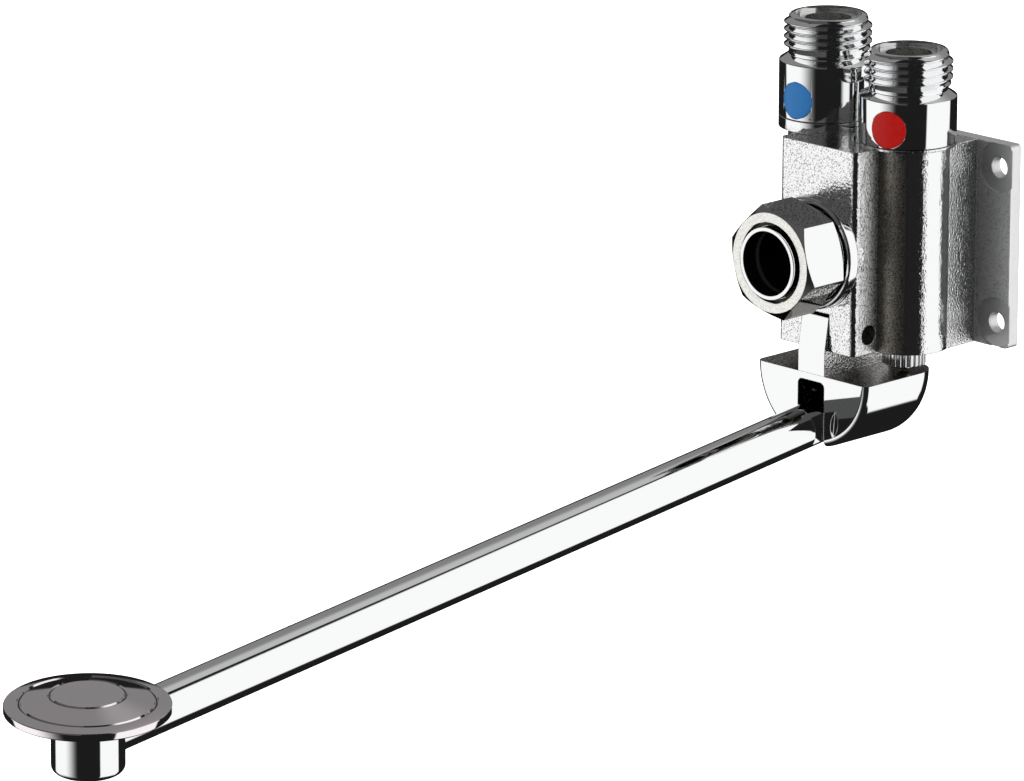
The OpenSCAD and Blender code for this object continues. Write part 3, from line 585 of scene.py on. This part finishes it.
rod_end_z = ROD_PIN_Z - (PEDAL_Y - ROD_PIN_Y) * math.tan(math.radians(ROD_SLOPE))
about_rod = rotation(ROD_SLOPE, "X") @ rotation(PEDAL_ROLL, "Y") @ rotation(-ROD_SLOPE, "X")
at_disc = Matrix.Translation((0, 0, ROD_BELOW_RIM * MM)) @ rotation(PEDAL_TILT, "X")
pedal_frame = Matrix.Translation((0, -PEDAL_Y * MM, rod_end_z * MM)) @ about_rod @ at_disc
mats = {
    "rough_cast_chrome": cast_chrome(),
    "polished_chrome": chrome("polished_chrome", 0.2 * MM),
    "turned_chrome": turned_chrome(pedal_frame),
    "cold_blue": plain("cold_blue", (0.021, 0.168, 0.45), 0.3, specular=0.25),
    "hot_red": plain("hot_red", (0.436, 0.002, 0.0), 0.3, specular=0.25),
    "red_fibre": plain("red_fibre", (0.42, 0.10, 0.06), 0.8),
    "strainer_mesh": plain("strainer_mesh", (0.62, 0.62, 0.60), 0.3, 1.0),
    "white_acetal": plain("white_acetal", (0.86, 0.86, 0.84), 0.45),
    "orange_acetal": plain("orange_acetal", (0.85, 0.30, 0.05), 0.45),
    "ivory_acetal": plain("ivory_acetal", (0.80, 0.76, 0.64), 0.45),
    "spring_steel": plain("spring_steel", (0.58, 0.58, 0.58), 0.25, 1.0),
    "stem_steel": plain("stem_steel", (0.66, 0.66, 0.66), 0.2, 1.0),
    "black_steel": plain("black_steel", (0.012, 0.012, 0.01), 0.5, specular=0.3),
    "bare_brass": plain("bare_brass", (0.78, 0.60, 0.28), 0.25, 1.0),
    "black_rubber": plain("black_rubber", (0.03, 0.03, 0.03), 0.6),
}
slot_of = {}
for sub in frame["record"]["subparts"]:
    slot_of[sub["node"]] = sub["material_slot"]
    mesh = nodes[sub["node"]].data
    mesh.materials.clear()
    mesh.materials.append(mats[sub["material_slot"]])
nodes["lever_yoke"].data.materials[0] = yoke_chrome()
body_of = {}
for body, names in frame["record"]["behaviour"]["bodies"].items():
    for name in names:
        body_of[name] = body


# Mesh helpers. Outlines are in millimetres and their meshes come out in metres.


def box_mm(node):
    """Both corners of a node's box, in millimetres."""
    low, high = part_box(node)
    return Vector(low) / MM, Vector(high) / MM


def join_rings(bm, rings):
    for lower, upper in zip(rings, rings[1:]):
        for i in range(len(lower)):
            j = (i + 1) % len(lower)
            bm.faces.new((lower[i], lower[j], upper[j], upper[i]))


def lathe(bm, outline, segments=160):
    """Turn a closed outline of (radius, height) points about the Z axis."""
    rings = []
    for radius, height in outline:
        ring = []
        for i in range(segments):
            angle = math.tau * i / segments
            ring.append(bm.verts.new((radius * math.cos(angle), radius * math.sin(angle), height)))
        rings.append(ring)
    join_rings(bm, rings + rings[:1])


def arc(centre, radius, start, end, steps):
    """Points of an arc in an outline, by angles in degrees."""
    points = []
    for i in range(steps + 1):
        angle = math.radians(start + (end - start) * i / steps)
        points.append((centre[0] + radius * math.cos(angle), centre[1] + radius * math.sin(angle)))
    return points


def helix(bm, base, turns, pitch, section, fade, segments=96):
    """Wind a ridge round the Z axis. section gives (radius, height) for a depth from 0 to 1."""
    count = round(turns * segments)
    rows = []
    for i in range(count + 1):
        angle = math.tau * i / segments
        depth = min(1.0, i / (fade * segments), (count - i) / (fade * segments))
        lift = base + pitch * i / segments
        row = []
        for radius, height in section(depth):
            row.append(bm.verts.new((radius * math.cos(angle), radius * math.sin(angle), lift + height)))
        rows.append(row)
    for here, ahead in zip(rows, rows[1:]):
        for i in range(len(here) - 1):
            bm.faces.new((here[i], ahead[i], ahead[i + 1], here[i + 1]))


def new_object(bm, name, matrix):
    bmesh.ops.recalc_face_normals(bm, faces=bm.faces)
    mesh = bpy.data.meshes.new(name)
    bm.to_mesh(mesh)
    bm.free()
    mesh.transform(matrix @ Matrix.Scale(MM, 4))
    thing = bpy.data.objects.new(name, mesh)
    bpy.context.scene.collection.objects.link(thing)
    return thing


def finish_piece(bm, name, node, matrix, sharp, material=None):
    """Make the mesh a piece that stands for a CAD node, with its body, slot and material."""
    piece = new_object(bm, name, matrix)
    mesh = piece.data
    mesh.polygons.foreach_set("use_smooth", [True] * len(mesh.polygons))
    mesh.set_sharp_from_angle(angle=math.radians(sharp))
    mesh.materials.append(material or mats[slot_of[node]])
    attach(piece, body_of[node])
    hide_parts(node)
    return piece


def upright(node):
    """Frame on the Z axis of a round upright node, at the height of the plate's middle."""
    low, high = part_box(node)
    return Matrix.Translation(((low[0] + high[0]) / 2, (low[1] + high[1]) / 2, 0))


# Inlet nipples with a wound G1/2 thread, and the index discs let into their collars


def ridge(depth):
    """Section of the thread's ridge, low at both its ends."""
    crest_r = THREAD_ROOT_R + (THREAD_R - THREAD_ROOT_R) * depth
    crest = THREAD_PITCH / 8
    mid = THREAD_PITCH / 2
    return [
        (THREAD_ROOT_R - RIDGE_SINK, RIDGE_GAP),
        (crest_r - CREST_ROUND, mid - crest / 2 - CREST_ROUND),
        (crest_r, mid - crest / 2),
        (crest_r, mid + crest / 2),
        (crest_r - CREST_ROUND, mid + crest / 2 + CREST_ROUND),
        (THREAD_ROOT_R - RIDGE_SINK, THREAD_PITCH - RIDGE_GAP),
    ]


def inlet_nipple(side, rise, turn):
    node = side + "_inlet_nipple"
    low, high = box_mm(node)
    disc_low, disc_high = box_mm(side + "_index_disc")
    collar_r = (high.x - low.x) / 2
    collar_z = (disc_low.z + disc_high.z) / 2 - rise
    end_z = high.z
    thread_z = end_z - THREAD_TURNS * THREAD_PITCH
    cone_z = thread_z - THREAD_RELIEF_H - COLLAR_CONE_H
    check_top_z = low.z + CHECK_H
    strainer_z = end_z - STRAINER_SEAT_DEPTH
    foot = (collar_r - COLLAR_FOOT_ROUND, collar_z + JOINT_H + COLLAR_FOOT_ROUND)
    outline = [
        (CHECK_BORE_R, low.z),
        (NIPPLE_SPIGOT_R, low.z),
        (NIPPLE_SPIGOT_R, collar_z - JOINT_GAP),
        (collar_r - COLLAR_ROUND, collar_z - JOINT_GAP),
        (collar_r - COLLAR_ROUND, collar_z + JOINT_H),
    ]
    outline += arc(foot, COLLAR_FOOT_ROUND, -90, 0, 4)
    outline += arc((collar_r - COLLAR_ROUND, cone_z - COLLAR_ROUND), COLLAR_ROUND, 0, 60, 5)
    outline += [
        (THREAD_ROOT_R + 0.2, cone_z + COLLAR_CONE_H),
        (THREAD_ROOT_R, cone_z + COLLAR_CONE_H + 0.1),
        (THREAD_ROOT_R, end_z - THREAD_CHAMFER),
        (THREAD_ROOT_R - THREAD_CHAMFER, end_z),
        (STRAINER_SEAT_R, end_z),
        (STRAINER_SEAT_R, strainer_z),
        (INLET_BORE_R, strainer_z),
        (INLET_BORE_R, check_top_z),
        (CHECK_BORE_R, check_top_z),
    ]
    bm = bmesh.new()
    lathe(bm, outline)
    turns = THREAD_TURNS - THREAD_SHORT_TURNS
    helix(bm, thread_z - THREAD_DROP, turns, THREAD_PITCH, ridge, THREAD_FADE_TURNS)
    material = nipple_chrome("polished_chrome_" + side, collar_z)
    piece = finish_piece(bm, side + "_nipple_threaded", node, upright(node), 50, material)
    disc_axis = disc_frame(node, collar_z + rise, turn)
    cut_pocket(piece, disc_axis, collar_r)
    index_disc(side, disc_axis, collar_r)


def disc_frame(node, height, turn):
    """Frame on the disc's axis: Z runs out of the collar, from the nipple's axis."""
    outwards = rotation(turn, "Z") @ rotation(90, "X")
    return upright(node) @ Matrix.Translation((0, 0, height * MM)) @ outwards


def cut_pocket(piece, disc_axis, collar_r):
    """Let the round pocket of the index disc into the collar."""
    floor_z = collar_r - POCKET_DEPTH
    mouth_z = collar_r + 1
    wall_r = INDEX_R + POCKET_GAP
    bm = bmesh.new()
    lathe(bm, [(NEAR_AXIS, floor_z), (wall_r, floor_z), (wall_r, mouth_z), (NEAR_AXIS, mouth_z)], 96)
    cutter = new_object(bm, "pocket", disc_axis)
    modifier = piece.modifiers.new("pocket", "BOOLEAN")
    modifier.operation = "DIFFERENCE"
    modifier.solver = "EXACT"
    modifier.use_self = True
    modifier.object = cutter
    bpy.context.view_layer.objects.active = piece
    bpy.ops.object.modifier_apply(modifier=modifier.name)
    bpy.data.objects.remove(cutter)
    piece.data.set_sharp_from_angle(angle=math.radians(50))


def index_disc(side, disc_axis, collar_r):
    """Coloured disc whose face follows the collar, with a rounded edge."""
    face_r = collar_r + INDEX_PROUD
    steps = 12
    segments = 96
    profile = []
    for step in range(steps + 1):
        profile.append(((INDEX_R - INDEX_ROUND) * (step + 0.02) / (steps + 0.02), 0.0))
    profile += [(INDEX_R - 0.04, -0.05), (INDEX_R, -INDEX_ROUND), (INDEX_R, -INDEX_T)]
    bm = bmesh.new()
    rows = []
    for radius, drop in profile:
        row = []
        for i in range(segments):
            angle = math.tau * i / segments
            u, v = radius * math.cos(angle), radius * math.sin(angle)
            row.append(bm.verts.new((u, v, math.sqrt(face_r ** 2 - u ** 2) + drop)))
        rows.append(row)
    join_rings(bm, rows)
    bm.faces.new(rows[0])
    bm.faces.new(rows[-1])
    finish_piece(bm, side + "_index_face", side + "_index_disc", disc_axis, 50)


inlet_nipple("cold", COLD_INDEX_RISE, COLD_INDEX_TURN)
inlet_nipple("hot", HOT_INDEX_RISE, HOT_INDEX_TURN)


# Coil springs with closed ends


def coil_spring(node, wire_d, coils):
    """Wind a spring with closed ends."""
    low, high = box_mm(node)
    wire_r = wire_d / 2
    mean_r = (high.x - low.x) / 2 - wire_r
    end_rise = CLOSED_COIL_RISE * wire_d
    inner_rise = high.z - low.z - wire_d - 2 * end_rise
    segments = 40
    bm = bmesh.new()
    rings = []
    for i in range((coils + 2) * segments + 1):
        turns = i / segments
        angle = math.tau * turns
        rise = end_rise * min(turns, 1) + inner_rise * min(max(turns - 1, 0), coils) / coils
        rise += end_rise * max(turns - 1 - coils, 0)
        ring = []
        for across, up in arc((mean_r, low.z + wire_r + rise), wire_r, 0, 330, 11):
            ring.append(bm.verts.new((across * math.cos(angle), across * math.sin(angle), up)))
        rings.append(ring)
    join_rings(bm, rings)
    bm.faces.new(rings[0])
    bm.faces.new(rings[-1])
    piece = finish_piece(bm, node + "_coil", node, upright(node), 50)
    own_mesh(piece)


for side in ("cold", "hot"):
    coil_spring(side + "_return_spring", RETURN_WIRE_D, RETURN_COILS)
    coil_spring(side + "_check_spring", CHECK_WIRE_D, CHECK_COILS)


# Outlet nut and the sleeve inside it, about the outlet axis


def forwards(node):
    """Frame on the outlet axis: Z runs forwards from the wall."""
    low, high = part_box(node)
    axis = Matrix.Translation(((low[0] + high[0]) / 2, 0, (low[2] + high[2]) / 2))
    return axis @ rotation(90, "X")


def rounded_hexagon(flats, corner, turn, steps=4):
    """Points round a hexagon with rounded corners, and eight more along each flat."""
    corner_reach = (flats / 2 - corner) / math.cos(math.radians(30))
    across = flats / 2
    points = []
    for side in range(6):
        middle = math.radians(60 * side + turn)
        centre = (corner_reach * math.cos(middle), corner_reach * math.sin(middle))
        points += arc(centre, corner, 60 * side + turn - 30, 60 * side + turn + 30, steps)
        flat_end = math.radians(60 * side + turn + 30)
        for i in range(1, 9):
            share = (i - 4.5) / 4.5
            along = -share * corner_reach / 2
            points.append((
                across * math.cos(flat_end) + along * math.sin(flat_end),
                across * math.sin(flat_end) - along * math.cos(flat_end),
            ))
    return points


def outlet_nut():
    low, high = box_mm("outlet_nut")
    back, front = -high.y, -low.y
    web = front - NUT_RECESS_DEPTH
    face_r = NUT_FLATS / 2 - NUT_FACE_INSET
    slope = math.tan(math.radians(30))
    outline = rounded_hexagon(NUT_FLATS, NUT_CORNER_R, NUT_TURN)
    bm = bmesh.new()

    def ring(radius, height):
        row = []
        for u, v in outline:
            length = math.hypot(u, v)
            row.append(bm.verts.new((u * radius / length, v * radius / length, height)))
        return row

    def edge(height, sign):
        row = []
        for u, v in outline:
            row.append(bm.verts.new((u, v, height + sign * slope * (math.hypot(u, v) - face_r))))
        return row

    rows = [
        ring(NUT_BORE_R, back),
        ring(face_r, back),
        edge(back, 1),
        edge(front, -1),
        ring(face_r, front),
        ring(NUT_RECESS_R + 0.15, front),
        ring(NUT_RECESS_R, front - 0.15),
        ring(NUT_RECESS_R, web),
        ring(NUT_WEB_R, web),
        ring(NUT_WEB_R, web - NUT_WEB_T),
        ring(NUT_BORE_R, web - NUT_WEB_T),
    ]
    join_rings(bm, rows + rows[:1])
    material = nut_chrome(low.y * MM)
    finish_piece(bm, "outlet_nut_chamfered", "outlet_nut", forwards("outlet_sleeve"), 25, material)


def outlet_sleeve():
    low, high = box_mm("outlet_sleeve")
    back, front = -high.y, -low.y
    bore_r = OUTLET_BORE_R
    outer_r = bore_r + SLEEVE_WALL
    lip = SLEEVE_LIP
    outline = [
        (bore_r, back),
        (SLEEVE_FLANGE_R, back),
        (SLEEVE_FLANGE_R, back + SLEEVE_FLANGE_T),
        (outer_r, back + SLEEVE_FLANGE_T),
    ]
    outline += arc((outer_r - lip, front - lip), lip, 0, 90, 4)
    outline += arc((bore_r + lip, front - lip), lip, 90, 180, 4)
    bm = bmesh.new()
    lathe(bm, outline)
    material = bored_chrome(low.y * MM)
    finish_piece(bm, "outlet_sleeve_lipped", "outlet_sleeve", forwards("outlet_sleeve"), 35, material)


outlet_nut()
outlet_sleeve()


# Pedal disc, turned in one piece with two grooves


def pedal_disc():
    groove_r = PEDAL_GROOVE_R + PEDAL_GROOVE_W / 2
    half = PEDAL_GROOVE_MOUTH / 2
    groove_z = PEDAL_RISE - PEDAL_GROOVE_DEPTH
    round_r = PEDAL_R - PEDAL_RIM_ROUND
    outline = [(NEAR_AXIS, -PEDAL_RIM_T)]
    outline += arc((round_r, -PEDAL_RIM_T + PEDAL_RIM_ROUND), PEDAL_RIM_ROUND, -90, 0, 5)
    outline += arc((round_r, -PEDAL_RIM_ROUND - PEDAL_RIM_FALL), PEDAL_RIM_ROUND, 0, 80, 5)
    outline += [
        (groove_r + half, 0),
        (groove_r + PEDAL_GROOVE_FLOOR, -PEDAL_GROOVE_DEPTH),
        (groove_r - PEDAL_GROOVE_FLOOR, -PEDAL_GROOVE_DEPTH),
        (groove_r - half, 0),
        (PEDAL_MIDDLE_R + half, PEDAL_RISE - 0.1),
        (PEDAL_MIDDLE_R + PEDAL_GROOVE_FLOOR, groove_z),
        (PEDAL_MIDDLE_R - PEDAL_GROOVE_FLOOR, groove_z),
        (PEDAL_MIDDLE_R - half, PEDAL_RISE),
        (NEAR_AXIS, PEDAL_RISE),
    ]
    bm = bmesh.new()
    lathe(bm, outline, 192)
    finish_piece(bm, "pedal_disc_turned", "pedal_disc", pedal_frame, 30)


pedal_disc()


# Camera, backdrop and light

# The camera's pose was fitted to points measured in the photo
camera = bpy.data.objects.new("camera", bpy.data.cameras.new("camera"))
bpy.context.scene.collection.objects.link(camera)
bpy.context.scene.camera = camera
camera.location = (1.0967, -1.1950, 0.4045)
camera.rotation_euler = (math.radians(74.591), 0, math.radians(45.966))
camera.data.lens = 245.9
camera.data.sensor_width = 36
camera.data.sensor_fit = "HORIZONTAL"
camera.data.clip_start = 0.05

# The floor is plain white to the camera, and the chrome doesn't see it
bpy.ops.mesh.primitive_plane_add(size=30, location=(0, 0, -0.6))
floor = bpy.context.object
floor.name = "floor"
floor.visible_glossy = False
floor_mat, tree, shader = new_material("floor")
shader.inputs["Base Color"].default_value = (0.9, 0.9, 0.9, 1)
shader.inputs["Roughness"].default_value = 0.9
camera_ray = make(tree, "ShaderNodeLightPath").outputs["Is Camera Ray"]
shader.inputs["Emission Color"].default_value = (1, 1, 1, 1)
tree.links.new(camera_ray, shader.inputs["Emission Strength"])
floor.data.materials.append(floor_mat)


def studio():
    """White to the camera and to matt surfaces. Chrome sees white and grey screens in a dark room."""
    world = bpy.data.worlds.new("studio")
    bpy.context.scene.world = world
    world.use_nodes = True
    tree = world.node_tree
    background = tree.nodes["Background"]
    split = make(tree, "ShaderNodeSeparateXYZ")
    tree.links.new(make(tree, "ShaderNodeTexCoord").outputs["Generated"], split.inputs[0])
    x, y, z = split.outputs
    # Degrees from 40 to the right of the way out of the wall, anticlockwise seen from above
    turn = math_node(tree, "ARCTAN2", x, product(tree, y, -1.0))
    turn = math_node(tree, "DIVIDE", turn, math.tau)
    turn = math_node(tree, "FRACT", total(tree, turn, 2 - STUDIO_TURN / 360))
    turn = product(tree, turn, 360.0)
    height = math_node(tree, "DEGREES", math_node(tree, "ARCSINE", z))
    right = product(
        tree,
        band(tree, turn, *RIGHT_TURN, RIGHT_SOFT),
        band(tree, height, *RIGHT_HEIGHT, RIGHT_SOFT),
    )
    left_start = smooth(tree, turn, *LEFT_START)
    left = product(
        tree,
        left_start,
        smooth_down(tree, turn, *LEFT_FADE),
        smooth(tree, height, *LEFT_FOOT),
        smooth_down(tree, height, *LEFT_TOP),
    )
    over_left = product(tree, left_start, smooth(tree, height, *LEFT_TOP, 0.0, OVER_LEFT_LIGHT))
    brighter = product(
        tree,
        smooth(tree, height, *BRIGHTER_HEIGHT, 0.0, BRIGHTER_LIGHT),
        smooth_down(tree, turn, *BRIGHTER_FADE),
    )
    wall = product(
        tree,
        band(tree, turn, *WALL_TURN, WALL_SOFT),
        band(tree, height, *WALL_HEIGHT, WALL_SOFT),
        total(tree, brighter, WALL_LIGHT),
    )
    screens = total(tree, left, over_left, right, wall, ROOM_LIGHT)
    glossy = make(tree, "ShaderNodeLightPath").outputs["Is Glossy Ray"]
    tree.links.new(mix(tree, glossy, 1.0, screens), background.inputs["Strength"])
    background.inputs["Color"].default_value = (1, 1, 1, 1)


studio()
bpy.context.scene.view_settings.view_transform = "Standard"
